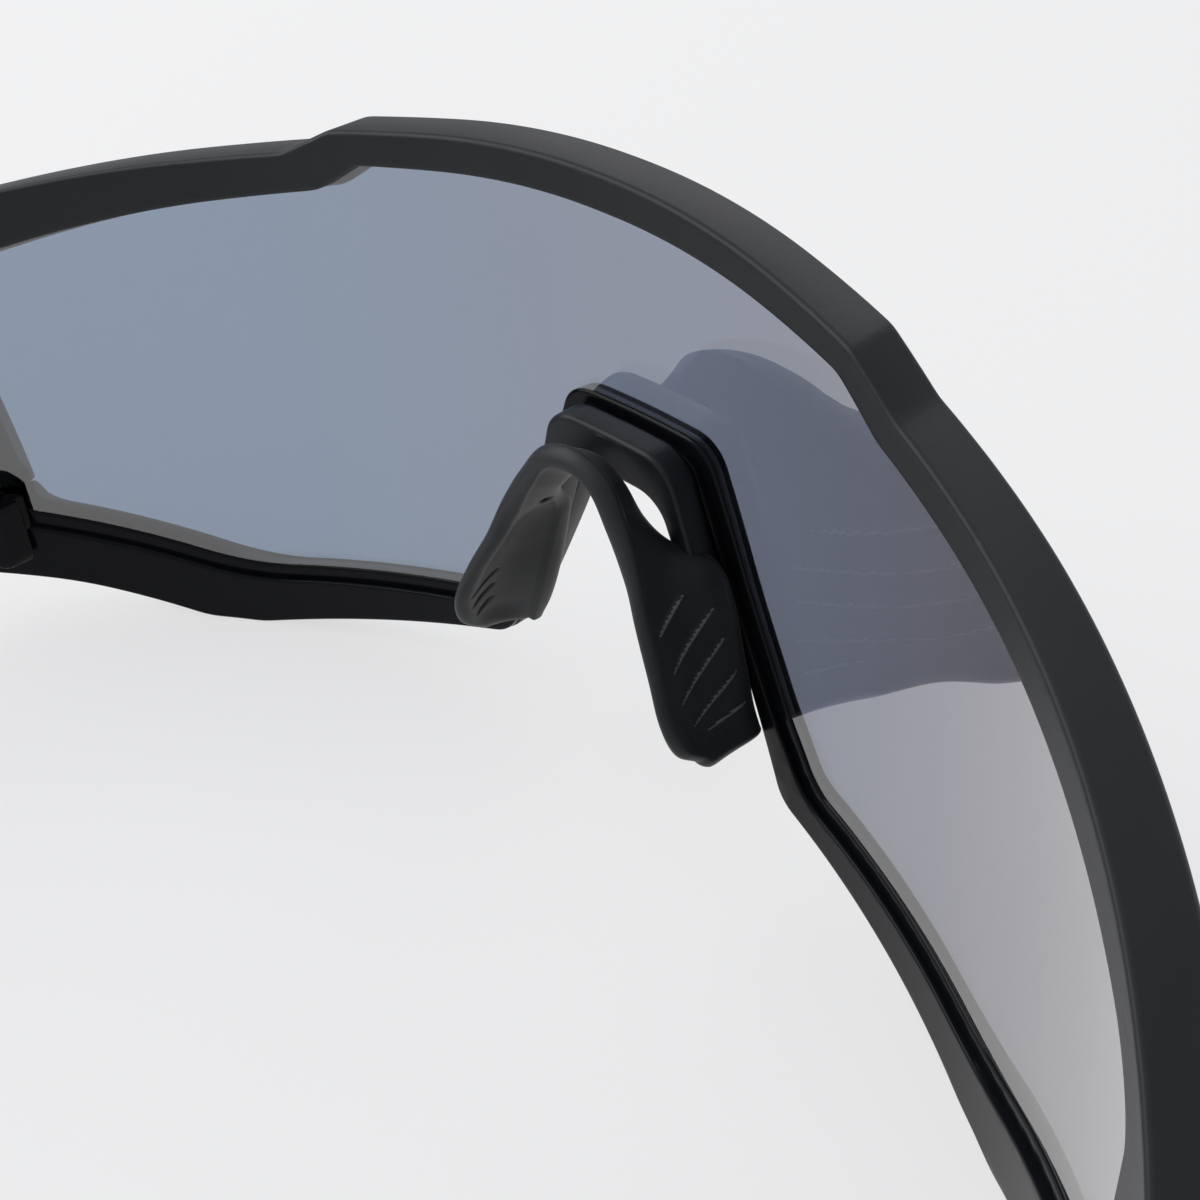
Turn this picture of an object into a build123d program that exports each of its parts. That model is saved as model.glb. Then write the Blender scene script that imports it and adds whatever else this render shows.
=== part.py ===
from build123d import *
import math
import os

os.makedirs("parts", exist_ok=True)

# Wraparound sport sunglasses, millimetres. The front faces -Y, the temples run back to +Y,
# +X is the wearer's left, and the glasses stand on z = 0 on the lower rim and the temple tips.

# ---- Front: the lens's curve --------------------------------------------------------------
FRONT_Y = -81.85  # foremost point of the lens's curve; the origin is midway along the whole depth
LENS_RADIUS = 74.3  # horizontal radius of the lens's front face where it is widest
LENS_RISE_RADIUS = 300.5  # vertical radius of the lens's front face
WIDEST_Z = -1.5  # height at which the horizontal radius is largest
LENS_THICKNESS = 1.8
LENS_FIT = 0.08  # gap all round the lens inside its groove
GROOVE_DEPTH = 1.5  # how far the rims reach over the lens's edge

RIM_PROUD = 0.8  # how far both rims stand in front of the lens
BROW_BACK = 3.1  # rear face of the brow rim, behind the lens's front face
RIM_BACK = 2.6  # rear face of the lower rim

# Front-view outlines, right half only: x, z and corner radius.
BROW_TOP = [(8.0, 52.1, 90.0), (22.6, 49.7, 2.4), (26.8, 47.3, 3.0), (45.3, 43.2, 140.0)]
BROW_END_Z = 33.2  # top of the brow's end piece, beside the hinge
END_RUN = 6.2  # how far past the end pieces the outlines run before they are cut off
END_Y = 43.0  # butt face of the end piece, behind the lens's foremost point
END_BOTTOM = [(62.6, 20.6, 10.0), (60.4, 7.4, 3.0)]
WINDOW_TOP = [(7.8, 49.2, 90.0), (21.2, 47.2, 2.2), (24.8, 44.6, 3.0), (41.0, 40.4, 110.0)]
WINDOW_END = [(55.0, 34.3, 5.0), (54.2, 11.6, 2.6)]
WINDOW_BOTTOM = [(38.6, 6.1, 14.0), (18.0, 9.4, 3.2)]
WINDOW_ARCH = [(14.4, 14.6, 16.0), (10.9, 21.5, 60.0), (6.6, 33.3, 3.0)]
RIM_BOTTOM = [(50.5, 3.4, 40.0), (42.0, 0.0, 5.0), (37.6, 0.0, 5.0), (14.6, 6.0, 3.0)]
RIM_ARCH = [(8.4, 20.3, 60.0), (4.6, 29.6, 3.2)]
PARTING_X = 55.6  # where the lower rim meets the brow rim's end piece
PARTING_Z = 13.4
PARTING_GAP = 0.1
PARTING_LOW = 5.2  # the parting line's lower end
PARTING_BEND = 0.4

# ---- Nosepiece ---------------------------------------------------------------------------
CARRIER_OUTER = [(12.6, 11.5, 0.6), (9.6, 21.2, 60.0), (6.0, 32.9, 3.0)]
CARRIER_INNER = [(4.3, 28.6, 3.2), (8.0, 20.0, 60.0), (10.9, 11.5, 0.6)]
CARRIER_DEPTH = 3.6
CARRIER_SEAT = 0.05  # gap between the carrier and the lower rim's rear face
PAD_MIDDLE = [(12.3, 10.4, 0.0), (9.3, 20.5, 60.0), (7.2, 28.2, 22.0), (2.6, 34.2, 5.0)]
PAD_THICKNESS = 2.0
PAD_SIDE = [(4.4, 10.2, 0.9), (4.4, 26.4, 1.2), (7.8, 27.0, 3.0), (9.2, 31.0, 4.0), (9.2, 37.0, 0.5),
            (13.2, 37.0, 0.5), (14.9, 28.0, 12.0), (14.9, 12.8, 5.5), (10.8, 9.6, 3.0)]

# ---- Hinge -------------------------------------------------------------------------------
KNUCKLE_INSET = 2.136  # the knuckle's outer side, inwards from the lens's curve at the butt face
KNUCKLE_CLEAR = 0.4  # between the knuckle and the butt face
HINGE_Z = 27.5  # middle of the knuckle
HINGE_HEIGHT = 8.0
KNUCKLE_HEIGHT = 3.5
KNUCKLE_RADIUS = 2.1
BLOCK_DEPTH = 2.8  # how far the metal block reaches into the end piece
BLOCK_INSET = 2.64  # the block's outer side, inwards from the lens's curve at the butt face
KNUCKLE_ROOT = 4.0  # length of the metal between the knuckle and the arm
SCREW_RADIUS = 0.7
SCREW_HEAD_RADIUS = 1.35
SCREW_HEAD_HEIGHT = 0.8
SCREW_HEAD_EDGE = 0.25
SCREW_SLOT = 0.4  # width and depth of the driver slot
NUT_WIDTH = 2.8  # across flats
NUT_HEIGHT = 1.0
RUNNING_GAP = 0.05
SWING_GAP = 0.3  # free space beside the ears and in front of the arm

RIM_SCREW_X = 57.8
RIM_SCREW_Z = 12.0
RIM_SCREW_RADIUS = 0.6
RIM_SCREW_HEAD = 1.2
RIM_SCREW_HEAD_HEIGHT = 0.7
RIM_SCREW_CROSS = 0.35  # width of the driver cross
RIM_SCREW_SUNK = 0.5  # depth of the head's seat in the tab
RIM_SCREW_START = 0.8  # the screw's tip, behind the lens's front face
TAB_THICKNESS = 1.5
TAB_END_X = 59.8
TAB_TOP = 14.6
TAB_BOTTOM = 9.6
TAB_INNER_X = 52.1
TAB_DROP = 3.0  # how far the tab's inner end runs down behind the rim
ROOT_WIDTH = 3.0  # the web that joins each tab to the rim
ROOT_OVERLAP = 0.3

# ---- Temples -----------------------------------------------------------------------------
ARM_LENGTH = 78.0  # from the butt face to the rubber tip
ARM_OUTER = [(0.96, 0.15), (2.86, 8.5), (1.66, 50.0), (-0.94, ARM_LENGTH)]  # x from the curve, y from the butt
ARM_WIDTHS = [2.8, 3.9, 3.4, 3.0]
ARM_BEND = 60.0
ARM_SIDE_BEND = 90.0
ARM_TOP = [(0.15, 33.0), (29.0, 32.2), (ARM_LENGTH, 28.2)]  # behind the butt face, height
ARM_BOTTOM = [(0.15, 21.4), (17.0, 20.2), (47.0, 21.6), (ARM_LENGTH, 22.2)]
ARM_EDGE = 0.7
ARM_LONG_EDGE = 5.0  # edges longer than this are rounded
TAIL_INSET = 2.44  # middle of the arm's tail, inwards from the lens's curve at the butt face
TAIL_ANGLE = 5.3  # degrees inwards
SPIGOT = (10.0, 3.4, 1.8)  # length, height, thickness
SPIGOT_ROOT = 2.0  # how far the spigot starts inside the arm
TIP_TOP = [(0.0, 28.7), (14.0, 27.6), (28.0, 20.0), (42.6, 5.6)]
TIP_BOTTOM = [(41.4, 0.0), (36.0, 0.0), (24.0, 11.6), (12.0, 20.4), (0.0, 21.7)]
TIP_BENDS = [0.6, 26.0, 40.0, 2.4, 2.6, 7.5, 40.0, 22.0, 0.6]
TIP_THICKNESS = 4.6
TIP_EDGE = 1.3
CORE_PATH = [(-10.0, 25.3), (9.0, 24.9), (22.0, 18.2), (36.0, 5.2)]
CORE_BENDS = [22.0, 40.0]
CORE_RADIUS = 0.7
GRIP_LENGTH = 17.0
GRIP_HEIGHT = 2.6
GRIP_S = -13.0  # middle of the grip, along the temple from the tip's front end
GRIP_Z = 25.3
GRIP_RECESS = 0.5
GRIP_PROUD = 0.45

AXIS_Y = FRONT_Y + LENS_RADIUS
FRONT_VIEW = Plane(origin=(0, AXIS_Y, 0), x_dir=(1, 0, 0), z_dir=(0, -1, 0))
SIDE_VIEW = Plane(origin=(0, FRONT_Y, 0), x_dir=(0, 1, 0), z_dir=(1, 0, 0))
PLAN_VIEW = Plane(origin=(0, FRONT_Y, 0))
REACH = LENS_RADIUS + 10
SHEET_LOW = -12.0
SHEET_HIGH = 62.0


def curve_radius(z, offset):
    """Horizontal radius, at height z, of the lens's front face moved outwards by offset."""
    centre = LENS_RADIUS - LENS_RISE_RADIUS
    return centre + math.sqrt((LENS_RISE_RADIUS + offset) ** 2 - (z - WIDEST_Z) ** 2)


def behind_butt(points):
    """Move points given from the butt face to their place in the side view."""
    return [(END_Y + y, z) for y, z in points]


def curved_sheet(outer, inner):
    """A ring that follows the lens's curve, between two distances from its front face."""
    middle = (SHEET_LOW + SHEET_HIGH) / 2
    levels = (SHEET_LOW, middle, SHEET_HIGH)
    with BuildPart() as sheet:
        with BuildSketch(Plane(origin=(0, AXIS_Y, 0), x_dir=(0, 1, 0), z_dir=(1, 0, 0))):
            with BuildLine():
                front = ThreePointArc(*[(curve_radius(z, outer), z) for z in levels])
                back = ThreePointArc(*[(curve_radius(z, inner), z) for z in levels])
                Line(front @ 0, back @ 0)
                Line(front @ 1, back @ 1)
            make_face()
        revolve(axis=Axis((0, AXIS_Y, 0), (0, 0, 1)), revolution_arc=360)
    return sheet.part


def mirrored(half):
    """Outline points that run back in reverse order on the other side."""
    return [(-x, z, r) for x, z, r in reversed(half)]


def closed_line(points):
    """Draw a closed outline from corner points that carry their radius."""
    FilletPolyline(*[(x, z) for x, z, r in points], radius=[r for x, z, r in points], close=True)


def front_slab(half, grow=0.0):
    """An outline in front view, as a slab through the whole front."""
    with BuildPart() as slab:
        with BuildSketch(FRONT_VIEW):
            with BuildLine():
                closed_line(half + mirrored(half))
            make_face()
            if grow:
                offset(amount=grow)
        extrude(amount=REACH)
    return slab.part


def band_outline(first, second, bend):
    """Draw a band between two bent lines that run the same way, closed square at both ends."""
    one = FilletPolyline(*first, radius=bend)
    two = FilletPolyline(*second, radius=bend)
    Line(one @ 0, two @ 0)
    Line(one @ 1, two @ 1)


def write(piece, name):
    """Label a finished piece and write it as its own node."""
    piece.label = name
    export_step(piece, f"parts/{name}.step")


def write_pair(piece, name):
    """Write a left piece and its mirror image on the right."""
    write(piece, f"{name}_left")
    with BuildPart() as other:
        mirror(piece, about=Plane.YZ)
    write(other.part, f"{name}_right")


# ---- Places that follow from the sizes above ----------------------------------------------
SIDE_X = math.sqrt(curve_radius(HINGE_Z, 0) ** 2 - (LENS_RADIUS - END_Y) ** 2)  # the curve at the butt face
END_X = SIDE_X + END_RUN
HINGE_INSET = KNUCKLE_RADIUS + KNUCKLE_INSET
HINGE_REACH = KNUCKLE_RADIUS + KNUCKLE_CLEAR
HINGE_X = SIDE_X - HINGE_INSET
HINGE_Y = END_Y + HINGE_REACH

# ---- Outlines shared by the rims, the lens and the nosepiece -------------------------------
WINDOW = WINDOW_TOP + WINDOW_END + WINDOW_BOTTOM + WINDOW_ARCH
INSIDE = [(50.0, 30.0, 1.0), (20.0, 40.0, 1.0)]  # a line that stays inside the window
INSIDE_X = INSIDE[0][0]
BROW_AREA = BROW_TOP + [(END_X, BROW_END_Z, 1.0), (END_X, 22.0, 1.0)] + END_BOTTOM
PARTING_BROW_X = PARTING_X + PARTING_GAP
BROW_AREA += [(PARTING_BROW_X, PARTING_LOW, PARTING_BEND), (PARTING_BROW_X, PARTING_Z, PARTING_BEND)]
BROW_AREA += [(INSIDE_X, PARTING_Z, PARTING_BEND)] + INSIDE
PARTING_RIM_Z = PARTING_Z - PARTING_GAP
RIM_AREA = list(reversed(INSIDE)) + [(INSIDE_X, PARTING_RIM_Z, PARTING_BEND)]
RIM_AREA += [(PARTING_X, PARTING_RIM_Z, PARTING_BEND), (PARTING_X, PARTING_LOW - 0.3, PARTING_BEND)]
RIM_AREA += RIM_BOTTOM + RIM_ARCH

window = front_slab(WINDOW)
lens_area = front_slab(WINDOW, GROOVE_DEPTH - LENS_FIT)
groove_area = front_slab(WINDOW, GROOVE_DEPTH)

# ---- Lens --------------------------------------------------------------------------------
with BuildPart() as lens:
    add(curved_sheet(0, -LENS_THICKNESS))
    add(lens_area, mode=Mode.INTERSECT)
write(lens.part, "lens")

with BuildPart() as lens_groove:
    add(curved_sheet(LENS_FIT, -LENS_THICKNESS - LENS_FIT))
    add(groove_area, mode=Mode.INTERSECT)

# ---- Hinge block, moulded into the brow's end piece ----------------------------------------
block_low = HINGE_Z - HINGE_HEIGHT / 2
block_high = HINGE_Z + HINGE_HEIGHT / 2
with BuildPart() as hinge_block:
    with BuildSketch(PLAN_VIEW.offset(block_low)):
        with Locations((HINGE_X, HINGE_Y)):
            Circle(KNUCKLE_RADIUS)
        with Locations((HINGE_X - KNUCKLE_RADIUS, END_Y - BLOCK_DEPTH)):
            Rectangle(2 * KNUCKLE_RADIUS, HINGE_REACH + BLOCK_DEPTH, align=(Align.MIN, Align.MIN))
            Rectangle(HINGE_INSET - BLOCK_INSET + KNUCKLE_RADIUS, BLOCK_DEPTH, align=(Align.MIN, Align.MIN))
    extrude(amount=HINGE_HEIGHT)
    knuckle_slot = KNUCKLE_HEIGHT + 2 * RUNNING_GAP
    with BuildSketch(PLAN_VIEW.offset(HINGE_Z - knuckle_slot / 2)):
        with Locations((HINGE_X, HINGE_Y)):
            Circle(KNUCKLE_RADIUS + SWING_GAP)
            Rectangle(4 * KNUCKLE_RADIUS, 3 * KNUCKLE_RADIUS, align=(Align.CENTER, Align.MIN))
            Rectangle(4 * KNUCKLE_RADIUS, KNUCKLE_RADIUS + SWING_GAP, align=(Align.MIN, Align.MAX))
    extrude(amount=knuckle_slot, mode=Mode.SUBTRACT)
    with Locations((HINGE_X, FRONT_Y + HINGE_Y, HINGE_Z)):
        Cylinder(SCREW_RADIUS + RUNNING_GAP, HINGE_HEIGHT, mode=Mode.SUBTRACT)
write_pair(hinge_block.part, "hinge_block")

with BuildPart() as hinge_screw:
    with BuildSketch(PLAN_VIEW.offset(block_low - NUT_HEIGHT)):
        with Locations((HINGE_X, HINGE_Y)):
            Circle(SCREW_RADIUS)
    extrude(amount=HINGE_HEIGHT + NUT_HEIGHT)
    with BuildSketch(PLAN_VIEW.offset(block_high)):
        with Locations((HINGE_X, HINGE_Y)):
            Circle(SCREW_HEAD_RADIUS)
    extrude(amount=SCREW_HEAD_HEIGHT)
    fillet(hinge_screw.faces().sort_by(Axis.Z)[-1].edges(), SCREW_HEAD_EDGE)
    with BuildSketch(PLAN_VIEW.offset(block_high + SCREW_HEAD_HEIGHT)):
        with Locations((HINGE_X, HINGE_Y)):
            Rectangle(SCREW_SLOT, 3 * SCREW_HEAD_RADIUS)
    extrude(amount=-SCREW_SLOT, mode=Mode.SUBTRACT)
write_pair(hinge_screw.part, "hinge_screw")

with BuildPart() as hinge_nut:
    with BuildSketch(PLAN_VIEW.offset(block_low - NUT_HEIGHT)):
        with Locations((HINGE_X, HINGE_Y)):
            RegularPolygon(NUT_WIDTH / 2, 6, major_radius=False)
            Circle(SCREW_RADIUS, mode=Mode.SUBTRACT)
    extrude(amount=NUT_HEIGHT)
write_pair(hinge_nut.part, "hinge_nut")

# ---- Small screws that hold the lower rim's end tabs to the brow ---------------------------
tab_depth = BROW_BACK + PARTING_GAP
screw_angle = math.asin(RIM_SCREW_X / curve_radius(RIM_SCREW_Z, 0))
screw_out = Vector(math.sin(screw_angle), -math.cos(screw_angle), 0)
screw_start = Vector(0, AXIS_Y, RIM_SCREW_Z) + screw_out * curve_radius(RIM_SCREW_Z, 0)
SCREW_VIEW = Plane(origin=screw_start, x_dir=(0, 0, 1), z_dir=-screw_out)  # square to the lens's curve
head_seat = tab_depth + TAB_THICKNESS - RIM_SCREW_SUNK
with BuildPart() as rim_screw:
    with BuildSketch(SCREW_VIEW.offset(RIM_SCREW_START)):
        Circle(RIM_SCREW_RADIUS)
    extrude(amount=head_seat - RIM_SCREW_START)
    with BuildSketch(SCREW_VIEW.offset(head_seat)):
        Circle(RIM_SCREW_HEAD)
    extrude(amount=RIM_SCREW_HEAD_HEIGHT)
    with BuildSketch(SCREW_VIEW.offset(head_seat + RIM_SCREW_HEAD_HEIGHT)):
        Rectangle(RIM_SCREW_CROSS, 3 * RIM_SCREW_HEAD)
        Rectangle(3 * RIM_SCREW_HEAD, RIM_SCREW_CROSS)
    extrude(amount=-RIM_SCREW_HEAD_HEIGHT / 2, mode=Mode.SUBTRACT)
write_pair(rim_screw.part, "rim_screw")

with BuildPart() as rim_screw_hole:
    with BuildSketch(SCREW_VIEW.offset(RIM_SCREW_START)):
        Circle(RIM_SCREW_RADIUS)
    extrude(amount=head_seat - RIM_SCREW_START)
    with BuildSketch(SCREW_VIEW.offset(head_seat)):
        Circle(RIM_SCREW_HEAD)
    extrude(amount=TAB_THICKNESS)

# ---- Brow rim: matte upper half of the front, with the end pieces ---------------------------
with BuildPart() as end_limit:
    with BuildSketch(PLAN_VIEW.offset(SHEET_LOW)):
        with Locations((0, END_Y)):
            Rectangle(3 * LENS_RADIUS, 2 * LENS_RADIUS, align=(Align.CENTER, Align.MAX))
    extrude(amount=SHEET_HIGH - SHEET_LOW)

with BuildPart() as brow_rim:
    add(curved_sheet(RIM_PROUD, -BROW_BACK))
    add(front_slab(BROW_AREA), mode=Mode.INTERSECT)
    add(end_limit.part, mode=Mode.INTERSECT)
    add(window, mode=Mode.SUBTRACT)
    add(lens_groove.part, mode=Mode.SUBTRACT)
    for cutter in (hinge_block.part, rim_screw_hole.part):
        add(cutter, mode=Mode.SUBTRACT)
        mirror(cutter, about=Plane.YZ, mode=Mode.SUBTRACT)
write(brow_rim.part, "brow_rim")

# ---- Lower rim: glossy lower half with the nose arch and a tab at each end ------------------
TAB_AREA = [(TAB_END_X, TAB_TOP, 1.0), (TAB_END_X, TAB_BOTTOM, 1.0), (TAB_INNER_X, TAB_BOTTOM - TAB_DROP, 0.4),
            (TAB_INNER_X, PARTING_RIM_Z, 0.4), (PARTING_X, PARTING_RIM_Z, 0.4), (PARTING_X + 1.0, TAB_TOP, 0.4)]
with BuildPart() as end_tab:
    with BuildSketch(FRONT_VIEW):
        with BuildLine():
            closed_line(TAB_AREA)
        make_face()
    extrude(amount=REACH)
    add(curved_sheet(-tab_depth, -tab_depth - TAB_THICKNESS), mode=Mode.INTERSECT)

with BuildPart() as tab_root:
    with BuildSketch(FRONT_VIEW):
        with Locations((PARTING_X, PARTING_RIM_Z)):
            Rectangle(ROOT_WIDTH, PARTING_Z - TAB_BOTTOM, align=(Align.MAX, Align.MAX))
    extrude(amount=REACH)
    add(curved_sheet(-RIM_BACK + ROOT_OVERLAP, -tab_depth - TAB_THICKNESS), mode=Mode.INTERSECT)

with BuildPart() as lower_rim:
    add(curved_sheet(RIM_PROUD, -RIM_BACK))
    add(front_slab(RIM_AREA), mode=Mode.INTERSECT)
    add(window, mode=Mode.SUBTRACT)
    for piece in (end_tab.part, tab_root.part):
        add(piece)
        mirror(piece, about=Plane.YZ)
    add(lens_groove.part, mode=Mode.SUBTRACT)
    add(rim_screw_hole.part, mode=Mode.SUBTRACT)
    mirror(rim_screw_hole.part, about=Plane.YZ, mode=Mode.SUBTRACT)
write(lower_rim.part, "lower_rim")

# ---- Nosepiece: a hard arch behind the nose arch, and the soft saddle over it ----------------
with BuildPart() as nose_carrier:
    add(curved_sheet(-RIM_BACK - CARRIER_SEAT, -RIM_BACK - CARRIER_DEPTH))
    with BuildSketch(FRONT_VIEW):
        with BuildLine():
            closed_line(CARRIER_OUTER + mirrored(CARRIER_OUTER) + mirrored(CARRIER_INNER) + CARRIER_INNER)
        make_face()
    extrude(amount=REACH, mode=Mode.INTERSECT)
write(nose_carrier.part, "nose_carrier")

with BuildPart() as nose_pad:
    with BuildSketch(FRONT_VIEW):
        with BuildLine():
            band = PAD_MIDDLE + mirrored(PAD_MIDDLE)
            spine = FilletPolyline(*[(x, z) for x, z, r in band], radius=[r for x, z, r in band[1:-1]])
            offset(spine, amount=PAD_THICKNESS / 2, side=Side.BOTH)
        make_face()
    extrude(amount=REACH)
    with BuildSketch(SIDE_VIEW):
        with BuildLine():
            closed_line(PAD_SIDE)
        make_face()
    extrude(amount=LENS_RADIUS, both=True, mode=Mode.INTERSECT)
    add(nose_carrier.part, mode=Mode.SUBTRACT)
write(nose_pad.part, "nose_pad")

# ---- Temple: steel core, arm, rubber tip and inner grip --------------------------------------
tail = math.radians(TAIL_ANGLE)
tail_start = (SIDE_X - TAIL_INSET, FRONT_Y + END_Y + ARM_LENGTH, 0)
TAIL_VIEW = Plane(origin=tail_start, x_dir=(-math.sin(tail), math.cos(tail), 0),
                  z_dir=(math.cos(tail), math.sin(tail), 0))

with BuildPart() as temple_core:
    with BuildLine(TAIL_VIEW) as core_line:
        FilletPolyline(*CORE_PATH, radius=CORE_BENDS)
    with BuildSketch(Plane(origin=core_line.line @ 0, z_dir=core_line.line % 0)):
        Circle(CORE_RADIUS)
    sweep()
write_pair(temple_core.part, "temple_core")

with BuildPart() as temple_grip:
    with BuildSketch(TAIL_VIEW.offset(-ARM_WIDTHS[-1] / 2 - GRIP_PROUD)):
        with Locations((GRIP_S, GRIP_Z)):
            SlotOverall(GRIP_LENGTH, GRIP_HEIGHT)
    extrude(amount=GRIP_RECESS + GRIP_PROUD)
write_pair(temple_grip.part, "temple_grip")

outer_side = [(SIDE_X + x, END_Y + y) for x, y in ARM_OUTER]
inner_side = [(x - width, y) for (x, y), width in zip(outer_side, ARM_WIDTHS)]
with BuildPart() as temple_arm:
    with BuildSketch(PLAN_VIEW):
        with BuildLine():
            band_outline(outer_side, inner_side, ARM_BEND)
        make_face()
    extrude(amount=SHEET_HIGH)
    with BuildSketch(SIDE_VIEW):
        with BuildLine():
            band_outline(behind_butt(ARM_TOP), behind_butt(ARM_BOTTOM), ARM_SIDE_BEND)
        make_face()
    extrude(amount=REACH, mode=Mode.INTERSECT)
    fillet(temple_arm.edges().filter_by(lambda edge: edge.length > ARM_LONG_EDGE), ARM_EDGE)
    with BuildSketch(TAIL_VIEW):
        with Locations((-SPIGOT_ROOT, CORE_PATH[0][1])):
            Rectangle(SPIGOT_ROOT + SPIGOT[0], SPIGOT[1], align=(Align.MIN, Align.CENTER))
    extrude(amount=SPIGOT[2] / 2, both=True)
    with BuildSketch(PLAN_VIEW.offset(HINGE_Z - KNUCKLE_HEIGHT / 2)):
        with Locations((HINGE_X, HINGE_Y)):
            Circle(KNUCKLE_RADIUS)
            Rectangle(KNUCKLE_ROOT, 2 * KNUCKLE_RADIUS, align=(Align.MIN, Align.CENTER))
    extrude(amount=KNUCKLE_HEIGHT)
    with Locations((HINGE_X, FRONT_Y + HINGE_Y, HINGE_Z)):
        Cylinder(SCREW_RADIUS + RUNNING_GAP, HINGE_HEIGHT, mode=Mode.SUBTRACT)
    add(temple_core.part, mode=Mode.SUBTRACT)
    add(temple_grip.part, mode=Mode.SUBTRACT)
write_pair(temple_arm.part, "temple_arm")

with BuildPart() as temple_tip:
    with BuildSketch(TAIL_VIEW):
        with BuildLine():
            FilletPolyline(*(TIP_TOP + TIP_BOTTOM), radius=TIP_BENDS, close=True)
        make_face()
    extrude(amount=TIP_THICKNESS / 2, both=True)
    fillet(temple_tip.edges().filter_by(GeomType.LINE, reverse=True), TIP_EDGE)
    add(temple_arm.part, mode=Mode.SUBTRACT)
    add(temple_core.part, mode=Mode.SUBTRACT)
write_pair(temple_tip.part, "temple_tip")
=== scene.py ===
import bpy
import bmesh
import math
from mathutils import Matrix, Vector


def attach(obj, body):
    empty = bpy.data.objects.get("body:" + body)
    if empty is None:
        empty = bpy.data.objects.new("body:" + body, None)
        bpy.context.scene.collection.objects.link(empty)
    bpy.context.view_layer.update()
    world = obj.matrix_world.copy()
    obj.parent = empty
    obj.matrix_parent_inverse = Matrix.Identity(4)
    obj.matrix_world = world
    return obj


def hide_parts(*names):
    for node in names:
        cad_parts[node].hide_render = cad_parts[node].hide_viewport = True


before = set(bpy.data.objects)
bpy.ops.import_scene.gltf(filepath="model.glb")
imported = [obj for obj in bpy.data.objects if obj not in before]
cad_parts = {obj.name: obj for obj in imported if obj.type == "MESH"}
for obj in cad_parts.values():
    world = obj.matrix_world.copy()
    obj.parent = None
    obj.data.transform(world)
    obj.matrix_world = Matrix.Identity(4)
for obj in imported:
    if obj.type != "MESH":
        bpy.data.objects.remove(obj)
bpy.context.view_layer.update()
MM = 0.001

# ---- The lens's curve, as in the CAD model (millimetres until points are placed) ----------
FRONT_Y = -81.85
LENS_RADIUS = 74.3
LENS_RISE_RADIUS = 300.5
WIDEST_Z = -1.5
LENS_THICKNESS = 1.8
GROOVE_DEPTH = 1.42
GROOVE_SHARE = 0.6  # how much of the groove's depth the lens's edge fills
RIM_PROUD = 0.8
BROW_BACK = 3.1
RIM_BACK = 2.6
END_Y = 43.0  # where the front ends and the temples begin, behind FRONT_Y
AXIS_Y = FRONT_Y + LENS_RADIUS

# Front-view outlines, right half: x, z and corner radius.
BROW_TOP = [(8.0, 52.1, 90.0), (22.6, 49.7, 2.4), (26.8, 47.3, 3.0), (45.3, 43.2, 140.0)]
BROW_END = [(72.0, 33.2, 1.0), (72.0, 22.0, 1.0), (62.6, 20.6, 10.0), (60.4, 7.4, 3.0)]
WINDOW_TOP = [(7.8, 49.2, 90.0), (21.2, 47.2, 2.2), (24.8, 44.6, 3.0), (41.0, 40.4, 110.0)]
WINDOW_END = [(55.0, 34.3, 5.0), (54.2, 11.6, 2.6)]
WINDOW_BOTTOM = [(38.6, 6.1, 14.0), (18.0, 9.4, 3.2)]
WINDOW_ARCH = [(14.4, 14.6, 16.0), (10.9, 21.5, 60.0), (6.6, 33.3, 3.0)]
RIM_BOTTOM = [(50.5, 3.4, 40.0), (42.0, 0.0, 5.0), (37.6, 0.0, 5.0), (14.6, 6.0, 3.0)]
RIM_ARCH = [(8.4, 20.3, 60.0), (4.6, 29.6, 3.2)]
FLANGE_BACK = 2.0
BAND_SETBACK = 1.35  # the band's inner edge, outwards from the window
BAND_INSET = 0.12  # the band's outer edge, inwards from the rim's outline
BAND_OVERLAP = 0.6  # how far the band reaches into the flange
TAB_AREA = [(59.8, 14.6, 1.0), (59.8, 9.6, 1.0), (52.1, 6.6, 0.4), (52.1, 13.3, 0.4),
            (55.6, 13.3, 0.4), (56.6, 14.6, 0.4)]
ROOT_AREA = [(52.6, 9.5), (55.6, 9.5), (55.6, 13.3), (52.6, 13.3)]
TAB_FRONT = 3.2
TAB_BACK = 4.7
PARTING_X = 55.6
PARTING_Z = 13.4
PARTING_GAP = 0.1
PARTING_INNER_X = 54.15
BROW_PARTING_LOW = 5.2
RIM_PARTING_LOW = 4.9
TOUCH = 1e-4  # points closer than this are one
FACE_ON = 0.9  # a face whose normal's share along a direction is above this faces that way
EDGE_ON = 0.9999  # outlines that run past the curve's side stay just short of it
WINDOW = WINDOW_TOP + WINDOW_END + WINDOW_BOTTOM + WINDOW_ARCH


def curve_radius(z, off):
    centre = LENS_RADIUS - LENS_RISE_RADIUS
    return centre + math.sqrt((LENS_RISE_RADIUS + off) ** 2 - (z - WIDEST_Z) ** 2)


def on_curve(x, z, off):
    """The point at front-view place x, z that lies `off` outside the lens's front face, in metres."""
    r = curve_radius(z, off)
    s = max(-EDGE_ON, min(EDGE_ON, x / r))
    return Vector((x, AXIS_Y - r * math.sqrt(1 - s * s), z)) * MM


def curve_normal(co):
    """The outward normal of the lens's curve at a point in metres."""
    x, y, z = co.x / MM, co.y / MM - AXIS_Y, co.z / MM
    r = math.hypot(x, y)
    ring = LENS_RADIUS - LENS_RISE_RADIUS
    return Vector((x / r * (r - ring), y / r * (r - ring), z - WIDEST_Z)).normalized()


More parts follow.
